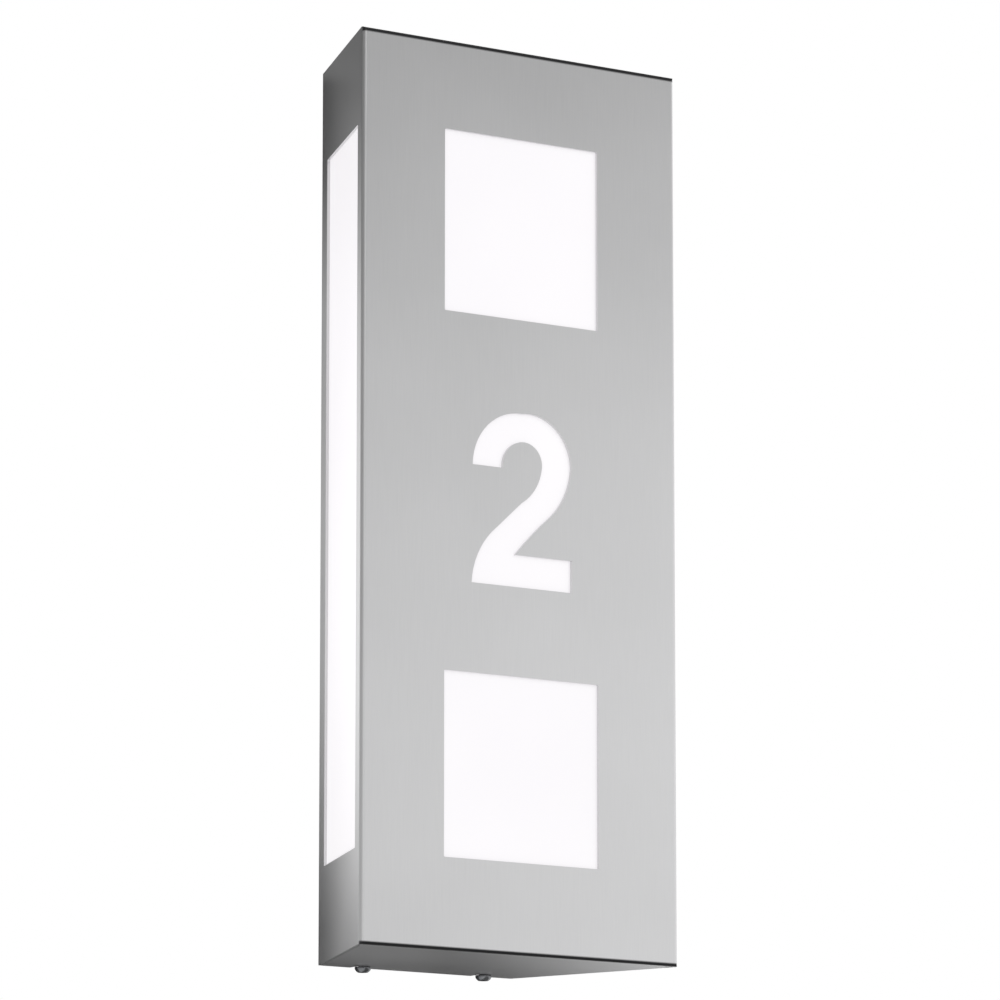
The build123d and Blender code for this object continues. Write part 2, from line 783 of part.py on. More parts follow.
def lead(x, end):
    """Insulated lead from a pole of the terminal block to a lampholder."""
    start = block_z + end * (block_height / 2 - lead_insertion)
    entry = end * (holder_base_height - lead_entry)
    route = FilletPolyline(
        (x, -lead_from_wall, start), (x, -lead_from_wall, entry), (x, -lead_end, entry),
        radius=lead_bend)
    return sweep(Plane(route @ 0, z_dir=route % 0) * Circle(lead_radius), route)


def earth_lead():
    """Earth lead from the middle pole, behind the other leads, to the lug on the earth stud."""
    start = block_z - block_height / 2 + lead_insertion
    lug_y = -plate - lug_rise
    route = FilletPolyline(
        (0, -lead_from_wall, start), (0, -lead_from_wall, start - earth_lead_drop),
        (0, lug_y, earth_z), (earth_x - earth_lead_end, lug_y, earth_z),
        radius=[3 * lead_bend, 0.7 * lead_bend])
    return sweep(Plane(route @ 0, z_dir=route % 0) * Circle(lead_radius), route)


def lead_clips():
    """Clips on the web that hold the two leads of each lamp."""
    parts = []
    for end in (-1, 1):
        z = end * clip_z
        low, high = z - clip_height, z + clip_height
        body = box_between((-clip_width / 2, -lead_from_wall - clip_front, z - clip_height / 2),
                           (clip_width / 2, -plate, z + clip_height / 2))
        body = fillet(body.edges().filter_by(Axis.Z).group_by(Axis.Y)[0], clip_round)
        for x in (-pole_pitch, pole_pitch):
            body -= cylinder_between(lead_radius + clip_clearance,
                                     (x, -lead_from_wall, low), (x, -lead_from_wall, high))
            body -= box_between((x - clip_mouth, -lead_from_wall - 2 * clip_front, low),
                                (x + clip_mouth, -lead_from_wall, high))
        body -= box_between((-pole_pitch / 2, -lead_from_wall - 2 * clip_front, low),
                            (pole_pitch / 2, -plate - clip_bridge, high))
        parts.append(body)
    return Compound(children=parts)


def earth_stud():
    return cylinder_between(earth_radius, (earth_x, 0, earth_z), (earth_x, -earth_length, earth_z))


def earth_lug():
    """Ring lug, its barrel towards the terminal block."""
    rear = -plate
    lug_y = rear - lug_rise
    eye = ring(Plane((earth_x, rear, earth_z), x_dir=(1, 0, 0), z_dir=(0, -1, 0)),
               lug_radius, earth_radius + fastener_clearance, lug_thickness)
    near, far = (earth_x - reach for reach in lug_barrel)
    tongue = box_between((near - 2, rear - lug_thickness, earth_z - lug_tongue / 2),
                         (earth_x - lug_radius + lug_overlap, rear, earth_z + lug_tongue / 2))
    barrel = cylinder_between(lug_rise - lug_barrel_inset, (far, lug_y, earth_z),
                              (near, lug_y, earth_z))
    bore = cylinder_between(lead_radius + fastener_clearance, (far - 1, lug_y, earth_z),
                            (near - lug_wall, lug_y, earth_z))
    return eye + tongue + barrel - bore


def earth_nuts():
    """Washer and hexagon nut on the earth stud."""
    rear = -plate - lug_thickness
    level = Plane((earth_x, rear, earth_z), x_dir=(1, 0, 0), z_dir=(0, -1, 0))
    washer = ring(level, lug_radius, earth_radius + fastener_clearance, earth_washer)
    nut = hex_nut(level.offset(earth_washer), earth_nut_size, earth_nut_height,
                  earth_radius + fastener_clearance)
    return Compound(children=[washer, nut])


def block_screws():
    """Two screws that hold the terminal block on the web."""
    face = -plate - block_depth + block_screw_sink
    parts = []
    for x in (-block_screw_x, block_screw_x):
        shank = cylinder_between(block_screw_radius, (x, 0, block_z), (x, face, block_z))
        head = cylinder_between(block_screw_head, (x, face, block_z),
                                (x, face - block_screw_head_height, block_z))
        parts.append(shank + head)
    return Compound(children=parts)


pieces = {
    "cover_shell": cover_shell,
    "front_pane": front_pane,
    "left_side_pane": lambda: side_pane(-1),
    "right_side_pane": lambda: side_pane(1),
    "pane_studs": pane_studs,
    "pane_clamp_plates": pane_clamp_plates,
    "pane_nuts": pane_nuts,
    "hanging_rod": hanging_rod,
    "wall_bracket": wall_bracket,
    "rivet_nuts": rivet_nuts,
    "cable_grommet": cable_grommet,
    "holder_arm_studs": arm_studs,
    "holder_arm_nuts": arm_nuts,
    "terminal_block": terminal_block,
    "terminal_cages": terminal_cages,
    "terminal_screws": terminal_screws,
    "block_screws": block_screws,
    "lead_clips": lead_clips,
    "earth_stud": earth_stud,
    "earth_lug": earth_lug,
    "earth_nuts": earth_nuts,
    "earth_lead": earth_lead,
}
for side, sign in (("left", -1), ("right", 1)):
    pieces[side + "_cover_screw"] = lambda sign=sign: cover_screw(sign)
    pieces[side + "_seal_washer"] = lambda sign=sign: seal_washer(sign)
for place, end in (("upper", 1), ("lower", -1)):
    for name, maker in (
        ("holder_arm", holder_arm), ("holder_body", holder_body), ("screw_shell", screw_shell),
        ("centre_contact", centre_contact), ("nipple", nipple), ("lock_nut", lock_nut),
        ("lamp_globe", lamp_globe), ("lamp_housing", lamp_housing), ("lamp_cap", lamp_cap),
        ("lamp_insulator", lamp_insulator), ("lamp_tip", lamp_tip),
    ):
        pieces[place + "_" + name] = lambda maker=maker, end=end: maker(end)
    pieces[place + "_live_lead"] = lambda end=end: lead(-pole_pitch, end)
    pieces[place + "_neutral_lead"] = lambda end=end: lead(pole_pitch, end)

os.makedirs("parts", exist_ok=True)
for node, maker in pieces.items():
    export_step(maker(), "parts/" + node + ".step")
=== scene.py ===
import json
from math import cos, pi, radians, sin, tau

import bmesh
import bpy
from mathutils import Matrix, Vector


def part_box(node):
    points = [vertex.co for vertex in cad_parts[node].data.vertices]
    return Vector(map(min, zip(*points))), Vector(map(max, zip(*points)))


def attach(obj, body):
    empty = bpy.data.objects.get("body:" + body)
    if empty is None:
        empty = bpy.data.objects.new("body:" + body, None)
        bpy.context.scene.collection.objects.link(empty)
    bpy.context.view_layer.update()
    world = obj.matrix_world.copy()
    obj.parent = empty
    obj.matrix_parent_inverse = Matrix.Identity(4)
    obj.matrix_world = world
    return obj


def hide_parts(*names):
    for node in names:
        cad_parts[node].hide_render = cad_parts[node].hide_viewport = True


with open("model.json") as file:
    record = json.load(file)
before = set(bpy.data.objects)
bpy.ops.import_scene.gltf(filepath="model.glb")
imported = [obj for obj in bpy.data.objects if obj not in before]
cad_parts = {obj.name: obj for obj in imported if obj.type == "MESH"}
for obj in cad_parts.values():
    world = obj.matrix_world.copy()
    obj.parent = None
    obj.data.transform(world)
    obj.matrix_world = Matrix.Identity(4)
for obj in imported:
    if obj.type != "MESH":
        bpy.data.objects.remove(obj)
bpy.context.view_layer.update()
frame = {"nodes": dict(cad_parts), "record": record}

# Illuminated house number sign: looks, lights and camera.
# Metres, in the frame of the CAD: X to the viewer's right, Y into the wall, Z up.

MM = 0.001
FOLD = 1.7 * MM  # outer radius of the cover's folds
ENDS = {"upper": 1, "lower": -1}  # the two lamps, and the side of the middle that each is on


# ---------------------------------------------------------------- shader tools

NOISE_LOW, NOISE_HIGH = 0.3, 0.7  # a noise texture stays mostly between these


class Value:
    """A number or colour that comes out of a node, ready for arithmetic."""

    def __init__(self, nodes, socket):
        self.nodes = nodes
        self.socket = socket

    def math(self, operation, first, second):
        return self.nodes.node("Math", {"operation": operation}, {0: first, 1: second})

    def __add__(self, other):
        return self.math("ADD", self, other)

    __radd__ = __add__

    def __mul__(self, other):
        return self.math("MULTIPLY", self, other)

    __rmul__ = __mul__

    def __sub__(self, other):
        return self.math("SUBTRACT", self, other)

    def __rsub__(self, other):
        return self.math("SUBTRACT", other, self)


class Nodes:
    """A node tree, and the one method that adds to it."""

    def __init__(self, tree):
        self.tree = tree

    def node(self, kind, settings, sockets, output=0):
        """Add a node: its settings, what goes into its sockets, and the output to go on with."""
        made = self.tree.nodes.new("ShaderNode" + kind)
        for name, value in settings.items():
            if name == "stops":
                self.set_stops(made.color_ramp, value)
            else:
                setattr(made, name, value)
        for name, value in sockets.items():
            self.connect(made.inputs[name], value)
        return Value(self, made.outputs[output] if made.outputs else None)

    def set_stops(self, ramp, stops):
        while len(ramp.elements) < len(stops):
            ramp.elements.new(0.5)
        for element, (place, colour) in zip(ramp.elements, stops):
            element.position = place
            element.color = (*colour, 1)

    def connect(self, socket, value):
        if isinstance(value, Value):
            self.tree.links.new(value.socket, socket)
        else:
            socket.default_value = value


class Finish(Nodes):
    """A surface finish: one material, its nodes and the shader they feed."""

    def __init__(self, name, **constants):
        self.material = bpy.data.materials.new(name)
        self.material.use_nodes = True
        super().__init__(self.material.node_tree)
        self.shader = self.tree.nodes["Principled BSDF"]
        self.feed(**constants)

    def feed(self, **inputs):
        """Set or connect the shader's sockets, their names written with underscores."""
        for name, value in inputs.items():
            socket = name.replace("_", " ").title().replace("Ior", "IOR")
            self.connect(self.shader.inputs[socket], value)

    def place(self):
        """Position on the object, in metres."""
        return self.node("TexCoord", {}, {}, "Object")

    def stretched(self, x, y, z):
        """Position with its axes scaled one by one, for grain that runs one way."""
        return self.node("Mapping", {"vector_type": "POINT"}, {
            "Vector": self.place(), "Scale": (x, y, z)})

    def axes(self, where, names):
        """Some of the coordinates of a place, as separate numbers."""
        return [self.node("SeparateXYZ", {}, {"Vector": where}, name) for name in names]

    def noise(self, where, scale, detail=3.0):
        return self.node("TexNoise", {}, {"Vector": where, "Scale": scale, "Detail": detail})

    def ramp(self, factor, *stops):
        return self.node("ValToRGB", {"stops": stops}, {"Fac": factor})

    def steps(self, factor, low, high, first=0.0, last=1.0):
        """Turn factor from low..high into first..last, held at both ends."""
        return self.node("MapRange", {"clamp": True}, {
            "Value": factor, "From Min": low, "From Max": high, "To Min": first, "To Max": last})

    def mottled(self, texture, first, last):
        """Colour that goes with a noise texture from first to last."""
        return self.ramp(texture, (NOISE_LOW, first), (NOISE_HIGH, last))

    def roughened(self, texture, first, last):
        """Roughness that goes with a noise texture from first to last."""
        self.feed(Roughness=self.steps(texture, NOISE_LOW, NOISE_HIGH, first, last))

    def bumps(self, height, strength, distance):
        """Raise the surface by a texture, distance in metres."""
        self.feed(Normal=self.node("Bump", {}, {
            "Height": height, "Strength": strength, "Distance": distance}))


# ---------------------------------------------------------------- finishes

def satin_steel():
    """Stainless sheet with a fine upright grain, a faint mottling, and a painted dark reflection
    line on two folds.

    The folds are those at the upper and the lower end of the front. The upper line starts a little
    below its fold, the lower one where its fold starts.
    """
    finish = Finish("satin_steel", metallic=1.0)
    grain = finish.noise(finish.stretched(2600, 2600, 60), 1.0, 2.0)
    cloud = finish.noise(finish.place(), 14.0, 4.0)
    sheet = finish.ramp(
        grain * 0.35 + cloud * 0.65, (0.35, (0.655, 0.655, 0.66)), (0.65, (0.695, 0.695, 0.70)))
    low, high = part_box("cover_shell")
    y, z = finish.axes(finish.place(), "YZ")
    blend = 0.4 * FOLD
    raised = 0.3 * MM  # half of what the upper line is wider than its fold
    level = finish.node("Math", {"operation": "ABSOLUTE"}, {0: z + raised})
    end_fold = high.z - FOLD - raised
    near_end = finish.steps(level, end_fold, end_fold + blend)
    near_front = 1 - finish.steps(y, low.y + FOLD - blend, low.y + FOLD)
    # Painted dark reflection: near the two folds the sheet colour is mixed to near-black.
    finish.feed(Base_Color=finish.node("Mix", {"data_type": "RGBA"}, {
        "Factor": near_end * near_front, "A": sheet, "B": (0.06, 0.06, 0.062, 1)}, "Result"))
    finish.roughened(grain * 0.5 + cloud * 0.5, 0.29, 0.35)
    finish.bumps(grain, 0.035, 0.02 * MM)
    return finish.material


def opal_acrylic(name, shade, glow):
    """Opal acrylic lit evenly from behind, its light a painted glow in place of the lamps' light
    shining through.
    """
    finish = Finish(name, emission_strength=glow)
    cloud = finish.noise(finish.place(), 9.0, 2.0)
    haze = finish.noise(finish.place(), 60.0)
    finish.feed(
        Base_Color=finish.mottled(cloud, (shade,) * 3, (shade + 0.02,) * 3),
        Emission_Color=finish.mottled(cloud, (0.98, 0.95, 0.99), (1.0, 0.97, 1.0)))
    finish.roughened(haze, 0.38, 0.42)
    return finish.material


def bright_steel(name, colour, dark, rough):
    """Turned or drawn steel with fine tool marks."""
    finish = Finish(name, metallic=1.0)
    marks = finish.noise(finish.place(), 1500.0, 3.0)
    stain = finish.noise(finish.place(), 180.0, 4.0)
    finish.feed(Base_Color=finish.ramp(stain, (0.35, dark), (0.6, colour)))
    finish.roughened(marks, rough, rough + 0.12)
    finish.bumps(marks, 0.12, 0.03 * MM)
    return finish.material


def zinc_plate():
    """Galvanised steel sheet with its spangle of small crystals."""
    finish = Finish("zinc_plate", metallic=1.0)
    spangle = finish.node("TexVoronoi", {"feature": "F1"}, {
        "Vector": finish.place(), "Scale": 130.0}, "Color")
    shade = finish.node("SeparateColor", {}, {"Color": spangle}, "Red")
    cloud = finish.noise(finish.place(), 30.0, 4.0)
    finish.feed(Base_Color=finish.ramp(
        shade * 0.5 + cloud * 0.5, (0.2, (0.46, 0.47, 0.49)), (0.8, (0.59, 0.60, 0.62))))
    finish.feed(Roughness=finish.steps(shade, 0.0, 1.0, 0.34, 0.52))
    finish.bumps(cloud, 0.08, 0.1 * MM)
    return finish.material


def brass():
    """Stamped brass, a little tarnished."""
    finish = Finish("stamped_brass", metallic=1.0)
    tarnish = finish.noise(finish.place(), 220.0, 5.0)
    finish.feed(Base_Color=finish.ramp(
        tarnish, (0.35, (0.50, 0.33, 0.14)), (0.6, (0.78, 0.57, 0.27))))
    finish.roughened(tarnish, 0.42, 0.22)
    finish.bumps(tarnish, 0.06, 0.05 * MM)
    return finish.material


def copper():
    """Tinned copper lug with copper showing through."""
    finish = Finish("tinned_copper", metallic=1.0)
    worn = finish.noise(finish.place(), 300.0, 4.0)
    finish.feed(Base_Color=finish.ramp(worn, (0.4, (0.66, 0.64, 0.62)), (0.62, (0.72, 0.42, 0.28))))
    finish.roughened(worn, 0.28, 0.45)
    return finish.material


def nickel_cap():
    """Nickel-plated lamp cap."""
    finish = Finish("nickel_cap", metallic=1.0)
    haze = finish.noise(finish.place(), 260.0, 4.0)
    finish.feed(Base_Color=finish.ramp(
        haze, (0.35, (0.63, 0.62, 0.59)), (0.65, (0.74, 0.73, 0.70))))
    finish.roughened(haze, 0.2, 0.36)
    finish.bumps(haze, 0.05, 0.04 * MM)
    return finish.material


def moulded(name, dark, light, rough, grain=1200.0):
    """Moulded plastic, rubber or nylon with a fine grain and slightly uneven colour."""
    finish = Finish(name)
    texture = finish.noise(finish.place(), grain, 2.0)
    cloud = finish.noise(finish.place(), 60.0, 3.0)
    finish.feed(Base_Color=finish.mottled(cloud, dark, light))
    finish.roughened(texture, rough - 0.06, rough + 0.08)
    finish.bumps(texture, 0.25, 0.03 * MM)
    return finish.material


def glazed_ceramic():
    """White steatite with a thin glaze and a few dark specks."""
    finish = Finish("glazed_ceramic", coat_weight=0.4, coat_roughness=0.12)
    specks = finish.noise(finish.place(), 1400.0, 2.0)
    cloud = finish.noise(finish.place(), 70.0, 3.0)
    finish.feed(Base_Color=finish.ramp(
        specks * 0.75 + cloud * 0.25, (0.24, (0.50, 0.47, 0.42)), (0.30, (0.80, 0.78, 0.73)),
        (0.75, (0.84, 0.83, 0.79))))
    finish.roughened(cloud, 0.3, 0.45)
    finish.bumps(cloud, 0.1, 0.2 * MM)
    return finish.material


def lamp_opal():
    """Frosted globe of a lamp that is on."""
    finish = Finish("lamp_opal", roughness=0.4, emission_strength=0.30)
    frost = finish.noise(finish.place(), 1800.0, 2.0)
    cloud = finish.noise(finish.place(), 40.0, 2.0)
    finish.feed(
        Base_Color=finish.mottled(frost, (0.60, 0.59, 0.57), (0.65, 0.64, 0.62)),
        Emission_Color=finish.mottled(cloud, (0.95, 0.93, 0.90), (1.0, 0.98, 0.95)))
    finish.bumps(frost, 0.1, 0.02 * MM)
    return finish.material


def earth_insulation():
    """Yellow and green insulation, its stripes running along the lead."""
    finish = Finish("earth_insulation")
    x, z = finish.axes(finish.place(), "XZ")
    wave = finish.node("Math", {"operation": "SINE"}, {0: (x + z) * 900.0})
    stripe = finish.steps(wave, -0.15, 0.15)
    finish.feed(Base_Color=finish.ramp(
        stripe, (0.45, (0.03, 0.22, 0.05)), (0.55, (0.74, 0.62, 0.04))))
    texture = finish.noise(finish.place(), 500.0, 2.0)
    finish.roughened(texture, 0.4, 0.52)
    finish.bumps(texture, 0.2, 0.03 * MM)
    return finish.material


def floor_paint():
    """Pale studio floor."""
    finish = Finish("floor_paint", roughness=0.8)
    cloud = finish.noise(finish.place(), 0.8, 3.0)
    finish.feed(Base_Color=finish.mottled(cloud, (0.87, 0.87, 0.87), (0.90, 0.90, 0.90)))
    return finish.material


SATIN = satin_steel()
# One opal in two copies, their painted glow and base shade set apart for the front and the side
# panes.
FRONT_OPAL = opal_acrylic("front_opal", 0.31, 0.607)
SIDE_OPAL = opal_acrylic("side_opal", 0.33, 0.628)
STEEL = bright_steel("bright_steel", (0.62, 0.62, 0.63), (0.5, 0.5, 0.52), 0.22)
CHROME = bright_steel("chromed_screw", (0.24, 0.245, 0.255), (0.16, 0.165, 0.175), 0.18)
ZINC = zinc_plate()
BRASS = brass()
COPPER = copper()
NICKEL = nickel_cap()
CERAMIC = glazed_ceramic()
LAMP = lamp_opal()
LAMP_PLASTIC = moulded("lamp_housing_plastic", (0.74, 0.74, 0.72), (0.80, 0.80, 0.78), 0.42)
BLACK_GLASS = moulded("black_cap_glass", (0.015, 0.015, 0.018), (0.03, 0.03, 0.034), 0.16, 300.0)
RUBBER = moulded("black_rubber", (0.022, 0.022, 0.022), (0.045, 0.045, 0.045), 0.68, 900.0)
BLOCK = moulded("terminal_block_plastic", (0.70, 0.69, 0.64), (0.77, 0.76, 0.71), 0.48)
CLIP = moulded("clip_plastic", (0.72, 0.72, 0.70), (0.78, 0.78, 0.76), 0.5)
NYLON = moulded("seal_nylon", (0.045, 0.045, 0.048), (0.07, 0.07, 0.075), 0.5)
BROWN = moulded("brown_insulation", (0.12, 0.05, 0.022), (0.17, 0.075, 0.035), 0.45, 500.0)
BLUE = moulded("blue_insulation", (0.015, 0.075, 0.26), (0.03, 0.11, 0.34), 0.45, 500.0)
EARTH = earth_insulation()


# ---------------------------------------------------------------- carried-over nodes

def paint(name, material):
    """Give a CAD node its finish."""
    for slot in frame["nodes"][name].material_slots:
        slot.material = material


def paint_nodes():
    """Give every CAD node its finish, also those that a threaded piece stands for later."""
    finishes = {
        "cover_shell": SATIN, "front_pane": FRONT_OPAL, "pane_clamp_plates": STEEL,
        "pane_nuts": STEEL, "pane_studs": STEEL, "hanging_rod": STEEL, "wall_bracket": ZINC,
        "rivet_nuts": STEEL, "cable_grommet": RUBBER, "holder_arm_studs": STEEL,
        "holder_arm_nuts": STEEL, "terminal_block": BLOCK, "terminal_cages": BRASS,
        "terminal_screws": STEEL, "block_screws": STEEL, "lead_clips": CLIP, "earth_stud": STEEL,
        "earth_lug": COPPER, "earth_nuts": STEEL, "earth_lead": EARTH,
    }
    of_each_side = {"side_pane": SIDE_OPAL, "cover_screw": CHROME, "seal_washer": NYLON}
    of_each_end = {
        "holder_arm": ZINC, "holder_body": CERAMIC, "screw_shell": BRASS, "centre_contact": BRASS,
        "nipple": STEEL, "lock_nut": STEEL, "lamp_globe": LAMP, "lamp_housing": LAMP_PLASTIC,
        "lamp_cap": NICKEL, "lamp_insulator": BLACK_GLASS, "lamp_tip": STEEL, "live_lead": BROWN,
        "neutral_lead": BLUE,
    }
    for side in ("left", "right"):
        finishes.update({side + "_" + name: material for name, material in of_each_side.items()})
    for place in ENDS:
        finishes.update({place + "_" + name: material for name, material in of_each_end.items()})
    for name, material in finishes.items():
        paint(name, material)


# ---------------------------------------------------------------- threaded pieces

SHARP_EDGE = radians(40)
BAR_POINT = 0.3 * MM  # chamfer at the end of a threaded bar
LAMP_PITCH = 3.62 * MM
LAMP_THREAD = 0.45 * MM  # depth
LAMP_RINGS = 12  # rings of points to a pitch of lamp thread
LAMP_ROUND, BAR_ROUND, NIPPLE_ROUND = 48, 20, 32  # points to a ring
AXIS_ROUNDS = 60  # enough for a bar's axis to settle
COVER_MIDDLE_Y = -40 * MM  # about halfway through the cover's depth


def body_of(node):
    """Name of the CAD body that a node belongs to."""
    bodies = frame["record"]["behaviour"]["bodies"]
    return next(body for body, members in bodies.items() if node in members)


def turned(mesh, place, outline, thread, around, hollow=False):
    """Add a round body to a bmesh, in rings of around points.

    outline lists (radius, height) points. It closes on itself where the body is hollow, and the
    body is capped at both ends where it isn't. thread is (lowest, highest, pitch, depth, wave): a
    groove that winds round the body between two heights.
    """
    rings = []
    for radius, height in outline:
        ring = []
        for step in range(around):
            turn = tau * step / around
            r = radius - groove(height, turn, thread)
            ring.append(mesh.verts.new(place @ Vector((r * cos(turn), r * sin(turn), height))))
        rings.append(ring)
    pairs = list(zip(rings, rings[1:]))
    if hollow:
        pairs.append((rings[-1], rings[0]))
    else:
        mesh.faces.new(list(reversed(rings[0])))
        mesh.faces.new(rings[-1])
    for lower, upper in pairs:
        for step in range(around):
            ahead = (step + 1) % around
            mesh.faces.new((lower[step], lower[ahead], upper[ahead], upper[step]))


def groove(height, turn, thread):
    """Depth of a thread's groove at one point of the surface."""
    lowest, highest, pitch, depth, wave = thread
    if not lowest <= height <= highest:
        return 0.0
    phase = (height - lowest) / pitch - turn / tau
    run_out = min(1.0, (height - lowest) / pitch, (highest - height) / pitch)
    return depth * run_out * wave(phase)


def rounded_wave(phase):
    """Lamp thread: as round in its crests as in its roots."""
    return 0.5 - 0.5 * cos(tau * phase)


def pointed_wave(phase):
    """Machine thread: straight flanks."""
    share = phase % 1.0
    return 1.0 - abs(2.0 * share - 1.0)


def climb(radius, lowest, highest, pitch, rings=8):
    """Outline points up a threaded stretch, so many rings of them to a pitch."""
    count = max(2, round((highest - lowest) / pitch * rings))
    return [(radius, lowest + (highest - lowest) * step / count) for step in range(count + 1)]


def finished(name, mesh, material, node):
    """Turn a bmesh into the piece that stands for a CAD node."""
    data = bpy.data.meshes.new(name)
    bmesh.ops.recalc_face_normals(mesh, faces=mesh.faces)
    mesh.to_mesh(data)
    mesh.free()
    data.materials.append(material)
    data.shade_smooth()
    piece = bpy.data.objects.new(name, data)
    bpy.context.scene.collection.objects.link(piece)
    sharp = piece.modifiers.new("sharp_edges", "EDGE_SPLIT")
    sharp.split_angle = SHARP_EDGE
    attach(piece, body_of(node))
    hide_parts(node)


def islands(node):
    """Corner points of each separate solid of a CAD node, the same way round each run."""
    mesh = bmesh.new()
    mesh.from_mesh(frame["nodes"][node].data)
    bmesh.ops.remove_doubles(mesh, verts=mesh.verts, dist=0.001 * MM)
    reached = set()
    for first in mesh.verts:
        if first in reached:
            continue
        reached.add(first)
        group = [first]
        for corner in group:  # grows while it is walked
            for edge in corner.link_edges:
                ahead = edge.other_vert(corner)
                if ahead not in reached:
                    reached.add(ahead)
                    group.append(ahead)
        yield [corner.co.copy() for corner in group]
    mesh.free()


def bar_axis(points, heading):
    """Frame on the foot of a round bar, its Z along the bar, with the bar's length and radius.

    The bar lies along the widest spread of its points. heading says for a point of the object
    roughly which way a bar there sticks out.
    """
    middle = sum(points, Vector()) / len(points)
    spread = Matrix(((0, 0, 0), (0, 0, 0), (0, 0, 0)))
    for point in points:
        arm = point - middle
        spread += Matrix([[arm[i] * arm[j] for j in range(3)] for i in range(3)])
    axis = Vector((0.31, 0.52, 0.79))  # a direction that no bar is square to
    for _ in range(AXIS_ROUNDS):
        axis = (spread @ axis).normalized()
    if axis.dot(heading(middle)) < 0:
        axis.negate()
    along = [(point - middle).dot(axis) for point in points]
    radius = max(((point - middle) - axis * (point - middle).dot(axis)).length for point in points)
    turn = axis.to_track_quat("Z", "Y").to_matrix().to_4x4()
    return Matrix.Translation(middle + axis * min(along)) @ turn, max(along) - min(along), radius


def threaded_bars(node, plain, pitch, depth, heading):
    """Machine thread on every bar of a node, above its plain stretch."""
    mesh = bmesh.new()
    for points in islands(node):
        place, length, radius = bar_axis(points, heading)
        high = length - BAR_POINT
        outline = [(radius, 0.0)] + climb(radius, plain, high, pitch)
        outline.append((radius - BAR_POINT, length))
        turned(mesh, place, outline, (plain, high, pitch, depth, pointed_wave), BAR_ROUND)
    finished(node + "_threaded", mesh, STEEL, node)


def lamp_axis(place):
    """Frame on the lampholder's bracket, its Z along the lamp's axis."""
    low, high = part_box(place + "_screw_shell")
    end = ENDS[place]
    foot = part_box(place + "_holder_body")[1 if end > 0 else 0].z
    turn = Matrix.Rotation(pi, 4, "X") if end > 0 else Matrix.Identity(4)
    return Matrix.Translation(((low.x + high.x) / 2, (low.y + high.y) / 2, foot)) @ turn


def span(node, place):
    """Lowest and highest point of a node along its lamp's axis, and its radius."""
    low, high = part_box(node)
    foot = lamp_axis(place).translation.z
    near, far = sorted((abs(low.z - foot), abs(high.z - foot)))
    return near, far, (high.x - low.x) / 2


def threaded_cap(place):
    """Lamp cap with its rolled thread and the flare at its top."""
    node = place + "_lamp_cap"
    near, far, radius = span(node, place)
    flare = 0.3 * MM
    crest = radius - flare
    low, high = near + 4 * MM, far - 2 * MM
    nose = [(2.6, 0.0), (1.0, 1.6), (0.45, 3.0)]  # mm inside the crest, mm above the foot
    outline = [(crest - inset * MM, near + rise * MM) for inset, rise in nose]
    outline += climb(crest, low, high, LAMP_PITCH, LAMP_RINGS)
    outline += [(crest - flare, far - 1.5 * MM), (radius, far - 1.0 * MM), (radius, far)]
    mesh = bmesh.new()
    thread = (low, high, LAMP_PITCH, LAMP_THREAD, rounded_wave)
    turned(mesh, lamp_axis(place), outline, thread, LAMP_ROUND)
    finished(node + "_threaded", mesh, NICKEL, node)


def threaded_shell(place):
    """Brass shell of a lampholder, rolled to the lamp's thread."""
    node = place + "_screw_shell"
    near, far, radius = span(node, place)
    wall = 0.5 * MM
    low, high = near + 2 * MM, far - 1.5 * MM
    inside = climb(radius - wall, low, high, LAMP_PITCH, LAMP_RINGS)
    outside = list(reversed(climb(radius, low, high, LAMP_PITCH, LAMP_RINGS)))
    outline = [(radius - wall, near)] + inside + [(radius - wall, far), (radius, far)] + outside
    outline.append((radius, near))
    mesh = bmesh.new()
    thread = (low, high, LAMP_PITCH, LAMP_THREAD, rounded_wave)
    turned(mesh, lamp_axis(place), outline, thread, LAMP_ROUND, hollow=True)
    finished(node + "_threaded", mesh, BRASS, node)


def threaded_nipple(place):
    """Hollow nipple that holds a lampholder on its arm."""
    node = place + "_nipple"
    low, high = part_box(node)
    radius, length = (high.x - low.x) / 2, high.z - low.z
    bore, pitch = radius - 1.5 * MM, 1.0 * MM
    depth = chamfer = 0.5 * MM
    first, last = chamfer, length - chamfer
    base = Matrix.Translation(((low.x + high.x) / 2, (low.y + high.y) / 2, low.z))
    outline = [(bore, 0.0), (radius - chamfer, 0.0)] + climb(radius, first, last, pitch)
    outline += [(radius - chamfer, length), (bore, length)]
    mesh = bmesh.new()
    thread = (first, last, pitch, depth, pointed_wave)
    turned(mesh, base, outline, thread, NIPPLE_ROUND, hollow=True)
    finished(node + "_threaded", mesh, STEEL, node)


def towards_middle(point):
    """From a point on the cover, level towards its middle."""
    return Vector((-point.x, COVER_MIDDLE_Y - point.y, 0))


def forward(point):
    """Away from the wall, the same at every point."""
    return Vector((0, -1, 0))


def threaded_pieces():
    """Pieces with modelled threads, each in the place of a CAD node."""
    threaded_bars(
        "pane_studs", plain=3.2 * MM, pitch=0.5 * MM, depth=0.28 * MM, heading=towards_middle)
    threaded_bars(
        "holder_arm_studs", plain=4.2 * MM, pitch=0.7 * MM, depth=0.38 * MM, heading=forward)
    threaded_bars("earth_stud", plain=3.0 * MM, pitch=0.8 * MM, depth=0.45 * MM, heading=forward)
    for place in ENDS:
        threaded_cap(place)
        threaded_shell(place)
        threaded_nipple(place)


# ---------------------------------------------------------------- studio

SENSOR = 36.0  # mm
LENS_PER_SENSOR = 6.2643
EYE = (-1.4787, -2.2449, -0.4740)
SIGHT_AZIMUTH = radians(34.168)
SIGHT_ELEVATION = radians(10.239)
FLOOR_Z = -1.2
FLOOR_SIZE = 18.0
SOFTBOX_SIZE = 1.6
WHITE, BLACK = (1, 1, 1, 1), (0, 0, 0, 1)
MATT_LIGHT = 0.85  # strength of the white surround on matt surfaces
EVEN = ((0.0, 1.0), (1.0, 1.0))  # no shading from one edge of a card to the other


